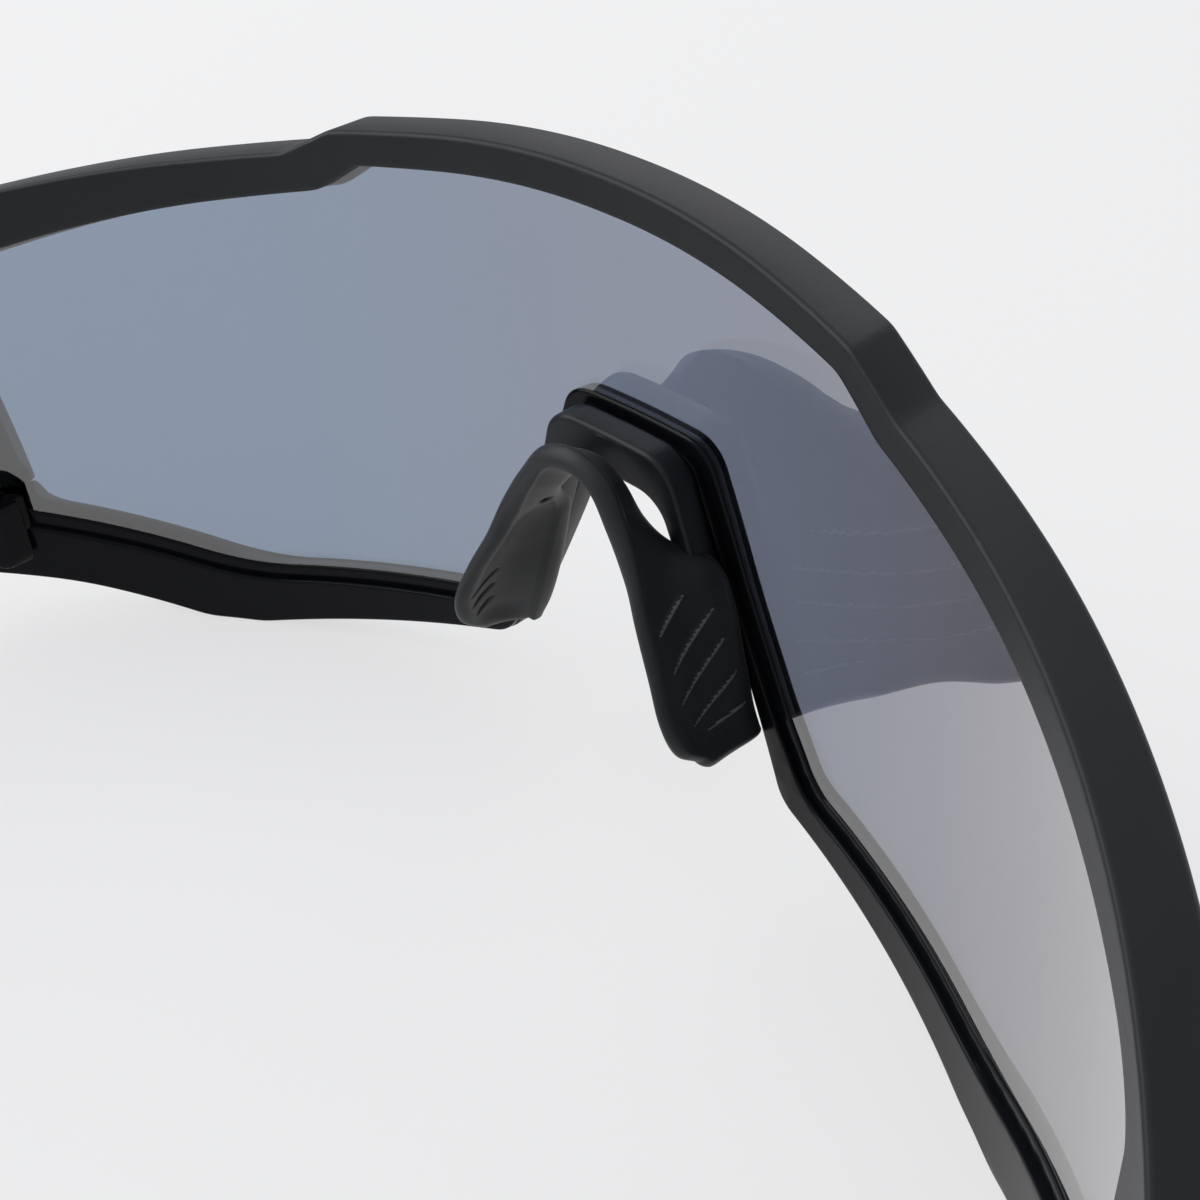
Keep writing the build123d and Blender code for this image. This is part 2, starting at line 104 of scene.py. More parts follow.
def rounded(points, step=0.5, closed=True):
    """Corner points with radii, as a dense line whose corners are arcs."""
    n = len(points)
    line = []
    for i, (x, z, radius) in enumerate(points):
        here = Vector((x, z))
        if not closed and i in (0, n - 1):
            line.append(here)
            continue
        back = (Vector(points[i - 1][:2]) - here).normalized()
        ahead = (Vector(points[(i + 1) % n][:2]) - here).normalized()
        half = 0.5 * back.angle(ahead)
        reach = radius / math.tan(half)
        middle = here + (back + ahead).normalized() * (radius / math.sin(half))
        turn = math.pi - 2 * half
        count = max(2, int(radius * turn / step))
        start = here + back * reach - middle
        sign = 1 if back.x * ahead.y - back.y * ahead.x < 0 else -1
        for k in range(count + 1):
            a = sign * turn * k / count
            line.append(middle + Vector((start.x * math.cos(a) - start.y * math.sin(a),
                                         start.x * math.sin(a) + start.y * math.cos(a))))
    dense = []
    count = len(line)
    for i in range(count if closed else count - 1):
        a, b = line[i], line[(i + 1) % count]
        parts = max(1, int((b - a).length / (2 * step)))
        dense += [a.lerp(b, k / parts) for k in range(parts)]
    if not closed:
        dense.append(line[-1])
    return dense


def mirrored(half):
    return [(-x, z, r) for x, z, r in reversed(half)]


def both_halves(half):
    return half + mirrored(half)


def new_mesh(name, verts, faces):
    mesh = bpy.data.meshes.new(name)
    mesh.from_pydata([tuple(v) for v in verts], [], faces)
    mesh.update()
    piece = bpy.data.objects.new(name, mesh)
    bpy.context.scene.collection.objects.link(piece)
    return piece


def slab_mesh(name, loops, thickness, round_edge, spacing=1.6):
    """A flat slab with rounded edges from closed outlines, outer one first, as a mesh in millimetres."""
    curve = bpy.data.curves.new(name, "CURVE")
    curve.dimensions = "2D"
    curve.fill_mode = "BOTH"
    curve.extrude = thickness / 2 - round_edge
    curve.bevel_depth = round_edge
    curve.bevel_resolution = 3
    curve.offset = -round_edge
    for loop in loops:
        spline = curve.splines.new("POLY")
        spline.points.add(len(loop) - 1)
        for point, (x, z) in zip(spline.points, loop):
            point.co = (x, z, 0, 1)
        spline.use_cyclic_u = True
    holder = bpy.data.objects.new(name + "_outline", curve)
    bpy.context.scene.collection.objects.link(holder)
    mesh = bpy.data.meshes.new_from_object(holder)
    bpy.data.objects.remove(holder)
    bm = bmesh.new()
    bm.from_mesh(mesh)
    bmesh.ops.remove_doubles(bm, verts=bm.verts, dist=TOUCH)
    bmesh.ops.triangulate(bm, faces=[f for f in bm.faces if len(f.verts) > 4])
    for axis in (0, 1):
        low, high = (f(v.co[axis] for v in bm.verts) for f in (min, max))
        direction = [0.0, 0.0, 0.0]
        direction[axis] = 1.0
        for k in range(1, int((high - low) / spacing)):
            place = [0.0, 0.0, 0.0]
            place[axis] = low + k * spacing
            geom = list(bm.verts) + list(bm.edges) + list(bm.faces)
            bmesh.ops.bisect_plane(bm, geom=geom, dist=TOUCH, plane_co=place, plane_no=direction)
    bmesh.ops.recalc_face_normals(bm, faces=bm.faces)
    return bm


def wrap(name, bm, outer, inner, cut_ends=False):
    """Bend a flat slab onto the lens's curve, between two distances from its front face."""
    for v in bm.verts:
        off = (outer + inner) / 2 + v.co.z
        v.co = on_curve(v.co.x, v.co.y, off)
    if cut_ends:
        limit = (FRONT_Y + END_Y) * MM
        geom = list(bm.verts) + list(bm.edges) + list(bm.faces)
        cut = bmesh.ops.bisect_plane(bm, geom=geom, dist=TOUCH * MM, plane_co=(0, limit, 0),
                                     plane_no=(0, 1, 0), clear_outer=True)
        rim = [e for e in cut["geom_cut"] if isinstance(e, bmesh.types.BMEdge)]
        bmesh.ops.holes_fill(bm, edges=rim, sides=0)
    bmesh.ops.recalc_face_normals(bm, faces=bm.faces)
    mesh = bpy.data.meshes.new(name)
    bm.to_mesh(mesh)
    bm.free()
    piece = bpy.data.objects.new(name, mesh)
    bpy.context.scene.collection.objects.link(piece)
    smooth(piece)
    return piece


def smooth(piece, angle=40):
    """Smooth shading, kept sharp at edges steeper than `angle` degrees."""
    mesh = piece.data
    for face in mesh.polygons:
        face.use_smooth = True
    bm = bmesh.new()
    bm.from_mesh(mesh)
    for edge in bm.edges:
        edge.smooth = len(edge.link_faces) != 2 or edge.calc_face_angle(0) < math.radians(angle)
    bm.to_mesh(mesh)
    bm.free()


def true_normals(piece):
    """Give points on the two big curved faces the exact normal of the curve, for clean reflections."""
    mesh = piece.data
    normals = []
    for poly in mesh.polygons:
        for loop in poly.loop_indices:
            v = mesh.vertices[mesh.loops[loop].vertex_index]
            exact = curve_normal(v.co)
            facing = poly.normal.dot(exact)
            if facing > FACE_ON:
                normals.append(exact)
            elif facing < -FACE_ON:
                normals.append(-exact)
            else:
                normals.append(mesh.corner_normals[loop].vector.copy())
    mesh.normals_split_custom_set(normals)


# ---- Materials ---------------------------------------------------------------------------
def material(name, color, roughness, **sockets):
    """A Principled material with constant values on its own sockets."""
    mat = bpy.data.materials.new(name)
    mat.use_nodes = True
    shader = mat.node_tree.nodes["Principled BSDF"]
    shader.inputs["Base Color"].default_value = (*color, 1)
    shader.inputs["Roughness"].default_value = roughness
    for socket, value in sockets.items():
        shader.inputs[socket.replace("_", " ")].default_value = value
    return mat, shader


def grain(mat, shader, scale, bump, depth, rough_low, rough_high, color_low=None, color_high=None):
    """Fine moulded grain: noise in object space drives bump, roughness and a slight change of colour."""
    nodes, links = mat.node_tree.nodes, mat.node_tree.links
    coords = nodes.new("ShaderNodeTexCoord")
    fine = nodes.new("ShaderNodeTexNoise")
    fine.inputs["Scale"].default_value = scale
    fine.inputs["Detail"].default_value = 4
    links.new(coords.outputs["Object"], fine.inputs["Vector"])
    relief = nodes.new("ShaderNodeBump")
    relief.inputs["Strength"].default_value = bump
    relief.inputs["Distance"].default_value = depth
    links.new(fine.outputs["Fac"], relief.inputs["Height"])
    links.new(relief.outputs["Normal"], shader.inputs["Normal"])
    broad = nodes.new("ShaderNodeTexNoise")
    broad.inputs["Scale"].default_value = scale * 0.04
    links.new(coords.outputs["Object"], broad.inputs["Vector"])
    span = nodes.new("ShaderNodeMapRange")
    span.inputs["To Min"].default_value = rough_low
    span.inputs["To Max"].default_value = rough_high
    links.new(broad.outputs["Fac"], span.inputs["Value"])
    links.new(span.outputs["Result"], shader.inputs["Roughness"])
    if color_low:
        ramp = nodes.new("ShaderNodeValToRGB")
        ramp.color_ramp.elements[0].position = 0.35
        ramp.color_ramp.elements[1].position = 0.65
        ramp.color_ramp.elements[0].color = (*color_low, 1)
        ramp.color_ramp.elements[1].color = (*color_high, 1)
        links.new(broad.outputs["Fac"], ramp.inputs["Fac"])
        links.new(ramp.outputs["Color"], shader.inputs["Base Color"])


def make_materials():
    mats = {}
    mat, shader = material("frame_matte_nylon", (0.010, 0.0105, 0.012), 0.5, Specular_IOR_Level=0.24)
    grain(mat, shader, 2600, 0.25, 0.00004, 0.44, 0.52, (0.0086, 0.0096, 0.0118), (0.011, 0.0122, 0.0146))
    mats["matte"] = mat
    mat, shader = material("rim_gloss_nylon", (0.004, 0.0045, 0.006), 0.2, Specular_IOR_Level=0.07,
                           Coat_Weight=0.04, Coat_Roughness=0.08)
    grain(mat, shader, 700, 0.05, 0.00002, 0.16, 0.24)
    mats["gloss"] = mat
    mat, shader = material("carrier_matte_nylon", (0.008, 0.009, 0.011), 0.42, Specular_IOR_Level=0.22)
    grain(mat, shader, 3000, 0.2, 0.00004, 0.36, 0.46)
    mats["carrier"] = mat
    mat, shader = material("pad_soft_rubber", (0.010, 0.011, 0.0125), 0.5, Specular_IOR_Level=0.28,
                           Sheen_Weight=0.08, Sheen_Roughness=0.4)
    grain(mat, shader, 3600, 0.35, 0.00005, 0.42, 0.55, (0.010, 0.011, 0.0125), (0.013, 0.014, 0.0155))
    mats["rubber"] = mat
    # A lighter grey for the tops of the wing's fins: a painted highlight where they catch the light, not a
    # colour of the rubber itself.
    mat, shader = material("pad_rubber_painted_fin_highlight", (0.10, 0.105, 0.11), 0.4)
    grain(mat, shader, 3600, 0.3, 0.00004, 0.34, 0.46)
    mats["rubber_edge"] = mat
    mat, shader = material("hinge_dark_steel", (0.12, 0.12, 0.125), 0.35, Metallic=1.0)
    grain(mat, shader, 1500, 0.1, 0.00002, 0.28, 0.42)
    mats["dark_steel"] = mat
    mat, shader = material("screw_steel", (0.42, 0.42, 0.44), 0.28, Metallic=1.0)
    grain(mat, shader, 2000, 0.1, 0.00002, 0.22, 0.36)
    mats["steel"] = mat
    mats["lens"] = lens_material()
    return mats


def lens_material():
    """Tinted polycarbonate whose tint and mirror coat change from the wearer's right to left."""
    mat, shader = material("lens_tinted_polycarbonate", (0.30, 0.36, 0.44), 0.0, Transmission_Weight=1.0,
                           IOR=1.58, Coat_Weight=1.0, Coat_Roughness=0.0, Coat_IOR=1.9)
    nodes, links = mat.node_tree.nodes, mat.node_tree.links
    coords = nodes.new("ShaderNodeTexCoord")
    split = nodes.new("ShaderNodeSeparateXYZ")
    links.new(coords.outputs["Object"], split.inputs["Vector"])
    across = nodes.new("ShaderNodeMapRange")
    across.inputs["From Min"].default_value = -0.055
    across.inputs["From Max"].default_value = 0.055
    links.new(split.outputs["X"], across.inputs["Value"])
    ramp = nodes.new("ShaderNodeValToRGB")
    ramp.color_ramp.elements[0].position = 0.04
    ramp.color_ramp.elements[1].position = 0.8
    ramp.color_ramp.elements[0].color = (0.235, 0.215, 0.235, 1)
    ramp.color_ramp.elements[1].color = (0.185, 0.255, 0.36, 1)
    ramp.color_ramp.elements.new(0.34).color = (0.20, 0.22, 0.29, 1)
    links.new(across.outputs["Result"], ramp.inputs["Fac"])
    links.new(ramp.outputs["Color"], shader.inputs["Base Color"])
    coat = nodes.new("ShaderNodeMapRange")
    coat.inputs["To Min"].default_value = 0.42
    links.new(across.outputs["Result"], coat.inputs["Value"])
    links.new(coat.outputs["Result"], shader.inputs["Coat Weight"])
    return mat


def paint(piece, mat):
    piece.data.materials.clear()
    piece.data.materials.append(mat)


# ---- Front -------------------------------------------------------------------------------
def make_brow(mats):
    parting = PARTING_X + PARTING_GAP
    area = BROW_TOP + BROW_END + [(parting, BROW_PARTING_LOW, 0.3), (parting, PARTING_Z, 0.3)]
    window_side = [(PARTING_INNER_X, PARTING_Z, 0.3), WINDOW_END[0]] + list(reversed(WINDOW_TOP))
    loop = rounded(both_halves(area + window_side))
    bm = slab_mesh("brow", [loop], RIM_PROUD + BROW_BACK, 0.45)
    piece = wrap("brow_shell", bm, RIM_PROUD, -BROW_BACK, cut_ends=True)
    paint(piece, mats["matte"])
    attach(piece, "front")
    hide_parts("brow_rim")


def grown(line, distance):
    """A dense open line moved sideways by a distance, to its left."""
    moved = []
    for i, here in enumerate(line):
        ahead = (line[min(i + 1, len(line) - 1)] - line[max(i - 1, 0)]).normalized()
        moved.append(here + Vector((-ahead.y, ahead.x)) * distance)
    return moved


def join(name, pieces):
    """One object from several that share a frame."""
    bm = bmesh.new()
    for piece in pieces:
        bm.from_mesh(piece.data)
        bpy.data.objects.remove(piece)
    mesh = bpy.data.meshes.new(name)
    bm.to_mesh(mesh)
    bm.free()
    whole = bpy.data.objects.new(name, mesh)
    bpy.context.scene.collection.objects.link(whole)
    smooth(whole)
    return whole


def make_lower_rim(mats):
    """The glossy lower rim: a flange that holds the lens, a raised outer band behind it, and the end tabs."""
    parting = PARTING_Z - PARTING_GAP
    outer = [(PARTING_INNER_X, parting, 0.2), (PARTING_X, parting, 0.3), (PARTING_X, RIM_PARTING_LOW, 0.4)]
    outer += RIM_BOTTOM + RIM_ARCH
    upper = list(reversed(WINDOW_ARCH)) + list(reversed(WINDOW_BOTTOM)) + [(54.2, 11.6, 2.4)]
    loop = rounded(both_halves(outer) + mirrored(upper) + upper)
    flange_mesh = slab_mesh("flange", [loop], RIM_PROUD + FLANGE_BACK, 0.4)
    flange = wrap("flange", flange_mesh, RIM_PROUD, -FLANGE_BACK)
    inner = upper + [(54.2, 13.2, 0.2)]
    inner_line = rounded(mirrored(inner) + inner, closed=False)
    outer_line = rounded(both_halves(outer[1:]), closed=False)
    band_loop = grown(outer_line, -BAND_INSET)[1:-1] + grown(inner_line, -BAND_SETBACK)[1:-1]
    band_mesh = slab_mesh("band", [band_loop], RIM_BACK - FLANGE_BACK + BAND_OVERLAP, 0.25)
    band = wrap("band", band_mesh, -FLANGE_BACK + BAND_OVERLAP, -RIM_BACK)
    pieces = [flange, band]
    for sign in (1, -1):
        tab = [(sign * x, z, r) for x, z, r in TAB_AREA]
        root = [(sign * x, z, 0.3) for x, z in ROOT_AREA]
        for area, high, low in ((tab, -TAB_FRONT, -TAB_BACK), (root, -RIM_BACK + 0.3, -TAB_BACK + 0.1)):
            tab_mesh = slab_mesh("tab", [rounded(area, step=0.3)], high - low, 0.15)
            pieces.append(wrap("tab", tab_mesh, high, low))
    piece = join("lower_rim_shell", pieces)
    paint(piece, mats["gloss"])
    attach(piece, "front")
    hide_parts("lower_rim")


def make_lens(mats):
    window = rounded(both_halves(WINDOW), step=0.4)
    bm = slab_mesh("lens", [window], LENS_THICKNESS, 0.12, spacing=1.2)
    fill_groove(bm)
    piece = wrap("lens_shield", bm, 0.0, -LENS_THICKNESS)
    true_normals(piece)
    paint(piece, mats["lens"])
    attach(piece, "front")
    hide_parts("lens")


def fill_groove(bm):
    """Push the flat lens's edge out into the rims' groove."""
    moves = {}
    for v in bm.verts:
        sides = [f.normal for f in v.link_faces if abs(f.normal.z) < FACE_ON]
        outward = sum((Vector((n.x, n.y, 0)) for n in sides), Vector((0, 0, 0)))
        if outward.length > 0:
            moves[v] = outward.normalized() * (GROOVE_DEPTH * GROOVE_SHARE)
    for v, move in moves.items():
        v.co += move


# ---- Nosepiece -----------------------------------------------------------------------------
# Stations from the strap's middle down one wing: front edge and rear edge, y behind FRONT_Y.
PAD_FRONT = [(0.0, 8.0, 30.9), (2.0, 8.0, 29.9), (3.8, 7.8, 28.0), (5.4, 6.6, 26.3),
             (7.5, 4.6, 24.9), (8.4, 3.9, 21.6), (9.2, 3.8, 17.6), (10.3, 3.8, 13.8),
             (11.3, 3.9, 11.5)]
PAD_REAR = [(0.0, 11.0, 32.7), (2.7, 11.0, 31.8), (4.5, 11.2, 29.2), (6.0, 11.5, 26.2),
            (7.3, 12.0, 22.8), (9.2, 12.6, 19.3), (10.6, 12.9, 16.2), (11.3, 12.1, 13.6),
            (11.8, 10.4, 12.2)]
PAD_HALF = 0.8  # half the thickness of the strap
PAD_WEDGE = 1.35  # how much thicker, on each side, a wing is at its front
PAD_ROLL = 0.3  # how much thicker the rolled rear edge is
RING = 168  # points round the pad
ROWS = 210  # rings down each half
CAP = 7  # steps of the round end of a wing
END_LENGTH = 1.1  # how far that round end reaches past the last station
WING_SPAN = (0.36, 0.55)  # where the strap turns into the wing, as a share of the half
FADE_SPAN = (0.86, 1.0)  # where dish and roll fade out towards the wing's end
# Lines on the wing: along and across it at their start, then at their end, as shares of its size.
OUTER_CUTS = [(0.55, 0.87, 0.505, 0.48), (0.647, 0.84, 0.573, 0.28), (0.731, 0.82, 0.655, 0.27),
              (0.814, 0.76, 0.753, 0.22), (0.862, 0.65, 0.85, 0.2)]
INNER_CUTS = [(0.74 + 0.06 * k, 0.90 - 0.03 * k, 0.69 + 0.06 * k, 0.62) for k in range(3)]
CUT_WIDTH = 0.17
CUT_DEPTH = 0.3
FIN_WIDTH = 0.19
FIN_HEIGHT = 0.22
FIN_HIGHLIGHT_SHARE = 0.25  # the share of a fin's height above which its rubber is painted paler, a painted highlight where the raised fins catch the light
WING_LENGTH = 30.0
WING_WIDTH = 8.6
OUTER_DISH = 0.25
INNER_DISH = 0.75
HOLE = (0.37, 0.36)
HOLE_DEPTH = 1.3


def spline(points, s):
    """A smooth line through points, at s from 0 to 1."""
    n = len(points) - 1
    i = min(n - 1, int(s * n))
    f = s * n - i
    before = points[i - 1] if i else Vector((-points[1].x, points[1].y, points[1].z))
    a, b = points[i], points[i + 1]
    after = points[i + 2] if i + 2 <= n else b + (b - a)
    return 0.5 * (2 * a + (b - before) * f + (2 * before - 5 * a + 4 * b - after) * f * f
                  + (3 * a - before - 3 * b + after) * f ** 3)


def bump(x, middle, width):
    return math.exp(-((x - middle) / width) ** 2)


def ease(x, low, high):
    x = max(0.0, min(1.0, (x - low) / (high - low)))
    return x * x * (3 - 2 * x)


def slit(s, v, cut, width):
    """How far a place on the wing lies into a slanting line from s, v to s, v: 1 on it, 0 off it."""
    s0, v0, s1, v1 = cut
    ds, dv = (s1 - s0) * WING_LENGTH, (v1 - v0) * WING_WIDTH
    ps, pv = (s - s0) * WING_LENGTH, (v - v0) * WING_WIDTH
    length = math.hypot(ds, dv)
    f = (ps * ds + pv * dv) / length ** 2
    if not 0 < f < 1:
        return 0.0
    across = abs(ps * dv - pv * ds) / length
    return math.sin(math.pi * f) ** 0.5 * bump(across, 0, width)


def pad_ring(s, end):
    """One closed ring of points round the pad: s from 0 at the strap's middle to 1 at the wing's end."""
    fronts, rears = [Vector(p) for p in PAD_FRONT], [Vector(p) for p in PAD_REAR]
    front, rear = spline(fronts, s), spline(rears, s)
    low, high = max(0.0, s - 0.01), min(1.0, s + 0.01)
    ahead = spline(fronts, high) + spline(rears, high)
    along = (ahead - spline(fronts, low) - spline(rears, low)).normalized()
    width = (rear - front).length
    across = (rear - front) / width
    normal = along.cross(across).normalized()
    centre = (front + rear) / 2
    wing = ease(s, *WING_SPAN)
    tail = 1 - ease(s, *FADE_SPAN)
    ring = []
    highlit = []
    for k in range(RING):
        side = 1 if k < RING // 2 else -1
        q = (k % (RING // 2) + 0.5) / (RING // 2)
        q = q if side > 0 else 1 - q
        v = 0.5 * q + 0.25 * (1 - math.cos(math.pi * q))
        wedge = PAD_WEDGE * wing * (1 - 0.3 * ease(s, 0.75, 1)) * (1 - ease(v, 0.0, 0.8))
        half = PAD_HALF + wedge + PAD_ROLL * bump(v, 0.94, 0.1) * (0.5 + 0.5 * tail)
        rise = side * math.sqrt(1 - abs(2 * v - 1) ** 4.5) * half
        dish = wing * tail * bump(v, 0.57, 0.3)
        fin = 0.0
        if side > 0:
            fin = max(slit(s, v, cut, FIN_WIDTH) for cut in OUTER_CUTS)
            rise += FIN_HEIGHT * fin - OUTER_DISH * dish
        else:
            rise += INNER_DISH * dish - 0.35 * (1 - ease(v, 0.24, 0.28)) * wing
            rise += CUT_DEPTH * max(slit(s, v, cut, CUT_WIDTH) for cut in INNER_CUTS)
            rise += HOLE_DEPTH * bump(s, HOLE[0], 0.022) ** 2 * bump(v, HOLE[1], 0.12) ** 2
        place = centre + across * ((v - 0.5) * width) + normal * rise
        if end:
            place = place.lerp(centre + (place - centre).project(across), 1 - math.cos(end))
            place = place.lerp(centre, 0.3 * (1 - math.cos(end))) + along * math.sin(end) * END_LENGTH
        ring.append(place)
        # Marks the fin tops that get the painted highlight.
        highlit.append(fin > FIN_HIGHLIGHT_SHARE)
    return ring, highlit


def make_pad(mats):
    """The soft saddle: a strap over the middle that flares into a dished wing on each side."""
    ends = [k * math.pi / 2 / CAP for k in range(1, CAP)]
    made = [pad_ring(i / ROWS, 0.0) for i in range(ROWS + 1)] + [pad_ring(1.0, end) for end in ends]
    half = [ring for ring, highlit in made]
    rings = [[Vector((-p.x, p.y, p.z)) for p in ring] for ring in reversed(half[1:])] + half
    raised = [highlit for ring, highlit in reversed(made[1:])] + [highlit for ring, highlit in made]
    verts = [Vector((p.x, FRONT_Y + p.y, p.z)) * MM for ring in rings for p in ring]
    faces = []
    for i in range(len(rings) - 1):
        for k in range(RING):
            m = (k + 1) % RING
            faces.append((i * RING + k, i * RING + m, (i + 1) * RING + m, (i + 1) * RING + k))
    faces.append(tuple(range(RING)))
    faces.append(tuple(reversed(range((len(rings) - 1) * RING, len(rings) * RING))))
    piece = new_mesh("nose_saddle_pad", verts, faces)
    bm = bmesh.new()
    bm.from_mesh(piece.data)
    bmesh.ops.recalc_face_normals(bm, faces=bm.faces)
    bm.to_mesh(piece.data)
    bm.free()
    smooth(piece, 75)
    paint(piece, mats["rubber"])
    # Faces on the fin tops take the lighter material, a painted highlight.
    piece.data.materials.append(mats["rubber_edge"])
    for face in piece.data.polygons:
        face.material_index = all(raised[v // RING][v % RING] for v in face.vertices)
    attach(piece, "front")
    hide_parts("nose_pad")


CARRIER_OUTER = [(9.9, 18.5, 0.5), (5.6, 32.9, 3.0)]
CARRIER_INNER = [(4.3, 29.2, 2.6), (8.0, 18.5, 0.5)]
CARRIER_BACK = 5.1
CARRIER_SEAT = 0.05  # gap between the carrier and the lower rim's rear face


def make_carrier(mats):
    loop = rounded(both_halves(CARRIER_OUTER) + mirrored(CARRIER_INNER) + CARRIER_INNER, step=0.3)
    low, high = -CARRIER_BACK, -RIM_BACK - CARRIER_SEAT
    bm = slab_mesh("carrier", [loop], high - low, 0.5)
    piece = wrap("nose_arch", bm, high, low)
    paint(piece, mats["carrier"])
    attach(piece, "front")
    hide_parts("nose_carrier")


# ---- Rubber on the temples --------------------------------------------------------------------
TAIL = Vector((63.4, FRONT_Y + 121.0, 0.0))
TAIL_ANGLE = math.radians(5.3)
TIP_RIBS = 9
TIP_RIB_START = 8.0  # along the tip, at floor height
TIP_RIB_SLANT = 0.35
TIP_RIB_PITCH = 1.7
TIP_RIB_DEPTH = 0.3
GRIP_RIB_PITCH = 1.25
GRIP_RIB_DEPTH = 0.22


def tail_place(co, sign):
    """A point's distances along, out of and above the tip's front end, and the outward direction."""
    rel = Vector((co.x / MM * sign, co.y / MM, co.z / MM)) - TAIL
    along = Vector((-math.sin(TAIL_ANGLE), math.cos(TAIL_ANGLE), 0))
    out = Vector((math.cos(TAIL_ANGLE), math.sin(TAIL_ANGLE), 0))
    return rel.dot(along), rel.dot(out), rel.z, out


def soft_copy(node, name, body, voxel):
    """A finely meshed, softened stand-in for a rubber part of the CAD model."""
    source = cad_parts[node]
    piece = bpy.data.objects.new(name, source.data.copy())
    piece.matrix_world = source.matrix_world.copy()
    bpy.context.scene.collection.objects.link(piece)
    remesh = piece.modifiers.new("fine", "REMESH")
    remesh.mode = "VOXEL"
    remesh.voxel_size = voxel * MM
    relax = piece.modifiers.new("relax", "SMOOTH")
    relax.factor = 0.5
    relax.iterations = 4
    bpy.context.view_layer.update()
    graph = bpy.context.evaluated_depsgraph_get()
    mesh = bpy.data.meshes.new_from_object(piece.evaluated_get(graph))
    piece.modifiers.clear()
    piece.data = mesh
    for face in mesh.polygons:
        face.use_smooth = True
    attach(piece, body)
    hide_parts(node)
    return piece


def make_tip(mats, side, sign):
    """The curved rubber ear tip, with cross ribs low on its inner face."""
    piece = soft_copy(f"temple_tip_{side}", f"ear_tip_{side}", f"{side}_temple", 0.28)
    place = piece.matrix_world
    back = place.inverted()
    for v in piece.data.vertices:
        s, out, height, outward = tail_place(place @ v.co, sign)
        travel = s - TIP_RIB_SLANT * height - TIP_RIB_START
        count = travel / TIP_RIB_PITCH
        if out < -1.2 and 0 < count < TIP_RIBS:
            depth = TIP_RIB_DEPTH * ease(-out, 1.2, 2.0) * (0.5 - 0.5 * math.cos(2 * math.pi * count)) ** 2
            shift = outward * depth * MM
            v.co = back @ (place @ v.co + Vector((shift.x * sign, shift.y, 0)))
    paint(piece, mats["rubber"])


def make_grip(mats, side, sign):
    """The inlaid grip strip on the arm's inner face, with fine cross ribs."""
    piece = soft_copy(f"temple_grip_{side}", f"arm_grip_{side}", f"{side}_temple", 0.1)
    place = piece.matrix_world
    back = place.inverted()
    for v in piece.data.vertices:
        s, out, height, outward = tail_place(place @ v.co, sign)
        wave = 0.5 - 0.5 * math.cos(2 * math.pi * s / GRIP_RIB_PITCH)
        depth = GRIP_RIB_DEPTH * ease(-out, 1.6, 1.8) * wave ** 2
        shift = outward * depth * MM
        v.co = back @ (place @ v.co + Vector((shift.x * sign, shift.y, 0)))
    paint(piece, mats["rubber"])


# ---- Camera, floor and light ----------------------------------------------------------------
CAMERA_ANGLES = (44.793, 37.003, -0.9)  # azimuth, elevation and roll in degrees
CAMERA_TARGET = (0.0365, FRONT_Y + 8.0, 19.157)
CAMERA_DISTANCE = 126.262
SENSOR = 36.0
FOCAL_SHARE = 1727.0 / 1200.0  # focal length over sensor width
FLOOR_HALF = 12  # metres
FLOOR_GLOW = 0.75  # how much of the floor's seen brightness is set, not lit


def make_camera():
    azimuth, elevation, roll = (math.radians(a) for a in CAMERA_ANGLES)
    target = Vector(CAMERA_TARGET) * MM
    back = Vector((-math.sin(azimuth) * math.cos(elevation), math.cos(azimuth) * math.cos(elevation),
                   math.sin(elevation)))
    right = (-back).cross(Vector((0, 0, 1))).normalized()
    up = right.cross(-back)
    turned_right = right * math.cos(roll) + up * math.sin(roll)
    turned_up = -right * math.sin(roll) + up * math.cos(roll)
    data = bpy.data.cameras.new("camera")
    data.lens = SENSOR * FOCAL_SHARE
    data.sensor_width = SENSOR
    data.clip_start = 0.005
    data.clip_end = 20.0
    camera = bpy.data.objects.new("camera", data)
    place = Matrix((turned_right, turned_up, back)).transposed().to_4x4()
    place.translation = target + back * (CAMERA_DISTANCE * MM)
    camera.matrix_world = place
    bpy.context.scene.collection.objects.link(camera)
    bpy.context.scene.camera = camera


def camera_or_glass(nodes, links):
    """The light path node, and a value that is 1 on rays from the camera or through glass."""
    path = nodes.new("ShaderNodeLightPath")
    seen = nodes.new("ShaderNodeMath")
    seen.operation = "MAXIMUM"
    links.new(path.outputs["Is Camera Ray"], seen.inputs[0])
    links.new(path.outputs["Is Transmission Ray"], seen.inputs[1])
    return path, seen


def show_white(mat, shader, color, strength):
    """Show this surface to the camera, and in gloss and glass, mostly at a set brightness."""
    nodes, links = mat.node_tree.nodes, mat.node_tree.links
    path, seen = camera_or_glass(nodes, links)
    glow = nodes.new("ShaderNodeEmission")
    glow.inputs["Color"].default_value = (*color, 1)
    glow.inputs["Strength"].default_value = strength
    any_ray = nodes.new("ShaderNodeMath")
    any_ray.operation = "MAXIMUM"
    links.new(seen.outputs[0], any_ray.inputs[0])
    links.new(path.outputs["Is Glossy Ray"], any_ray.inputs[1])
    part = nodes.new("ShaderNodeMath")
    part.operation = "MULTIPLY"
    part.inputs[1].default_value = FLOOR_GLOW
    links.new(any_ray.outputs[0], part.inputs[0])
    mix = nodes.new("ShaderNodeMixShader")
    links.new(part.outputs[0], mix.inputs["Fac"])
    links.new(shader.outputs[0], mix.inputs[1])
    links.new(glow.outputs[0], mix.inputs[2])
    links.new(mix.outputs[0], nodes["Material Output"].inputs["Surface"])


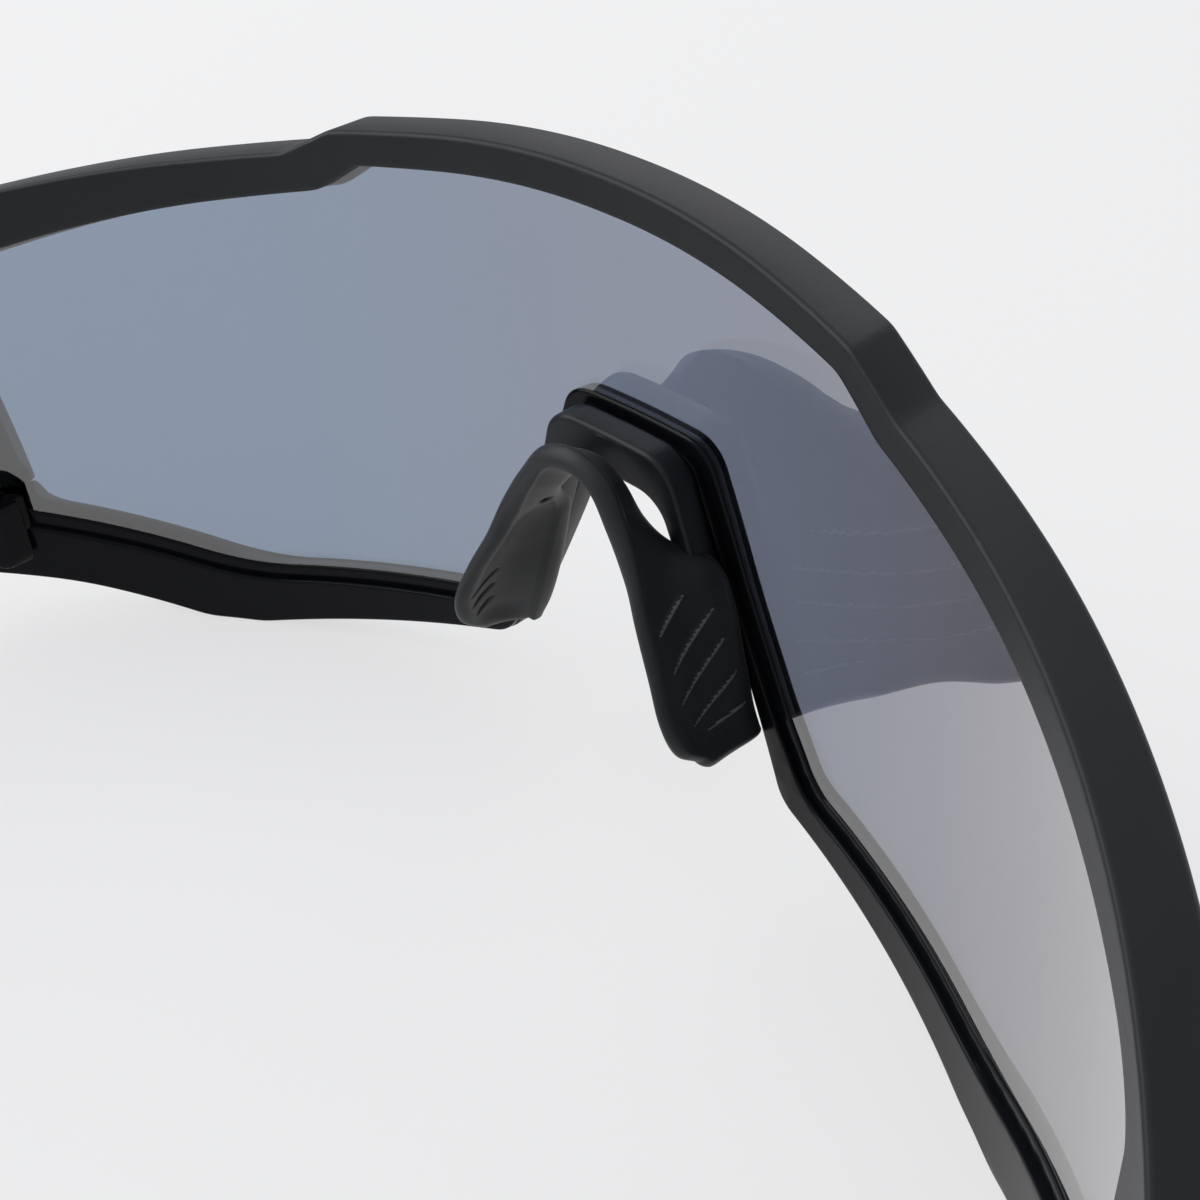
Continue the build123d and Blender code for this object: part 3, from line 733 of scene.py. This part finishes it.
def make_floor():
    far = FLOOR_HALF
    corners = [(-far, -far, 0), (far, -far, 0), (far, far, 0), (-far, far, 0)]
    floor = new_mesh("floor", corners, [(0, 1, 2, 3)])
    mat, shader = material("floor_white", (0.80, 0.80, 0.80), 0.8, Specular_IOR_Level=0.1)
    show_white(mat, shader, (0.88, 0.882, 0.892), 1.0)
    paint(floor, mat)


def make_light():
    scene = bpy.context.scene
    scene.view_settings.view_transform = "Standard"
    world = bpy.data.worlds.new("studio")
    world.use_nodes = True
    sky = world.node_tree.nodes["Background"]
    sky.inputs["Color"].default_value = (0.9, 0.91, 0.93, 1)
    sky.inputs["Strength"].default_value = 0.62
    nodes, links = world.node_tree.nodes, world.node_tree.links
    path, seen = camera_or_glass(nodes, links)
    white = nodes.new("ShaderNodeBackground")
    white.inputs["Color"].default_value = (0.88, 0.882, 0.888, 1)
    white.inputs["Strength"].default_value = 1.0
    mix = nodes.new("ShaderNodeMixShader")
    links.new(seen.outputs[0], mix.inputs["Fac"])
    links.new(sky.outputs[0], mix.inputs[1])
    links.new(white.outputs[0], mix.inputs[2])
    links.new(mix.outputs[0], nodes["World Output"].inputs["Surface"])
    scene.world = world
    lamps = (("key_softbox", (0.7, 0.45, 0.55), (0, -0.05, 0.02), 0.8, 7.5),
             ("top_softbox", (0.1, 0.0, 0.9), (0, -0.05, 0), 0.9, 0.8),
             ("back_softbox", (0.5, -0.8, 0.6), (0, -0.05, 0.02), 0.6, 1.6))
    for name, place, aim, size, power in lamps:
        data = bpy.data.lights.new(name, "AREA")
        data.size = size
        data.energy = power
        lamp = bpy.data.objects.new(name, data)
        lamp.location = place
        lamp.rotation_euler = (Vector(aim) - Vector(place)).to_track_quat("-Z", "Y").to_euler()
        scene.collection.objects.link(lamp)


make_camera()
make_floor()
make_light()
mats = make_materials()
make_brow(mats)
make_lower_rim(mats)
make_lens(mats)
make_carrier(mats)
make_pad(mats)
for side, sign in (("left", 1), ("right", -1)):
    make_tip(mats, side, sign)
    make_grip(mats, side, sign)

# The CAD pieces that are shown as they are.
PLAIN = {"rim_screw": "steel", "hinge_screw": "steel", "hinge_nut": "steel", "hinge_block": "dark_steel",
         "temple_core": "dark_steel", "temple_arm": "matte"}
for side in ("left", "right"):
    for node, mat in PLAIN.items():
        paint(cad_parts[f"{node}_{side}"], mats[mat])
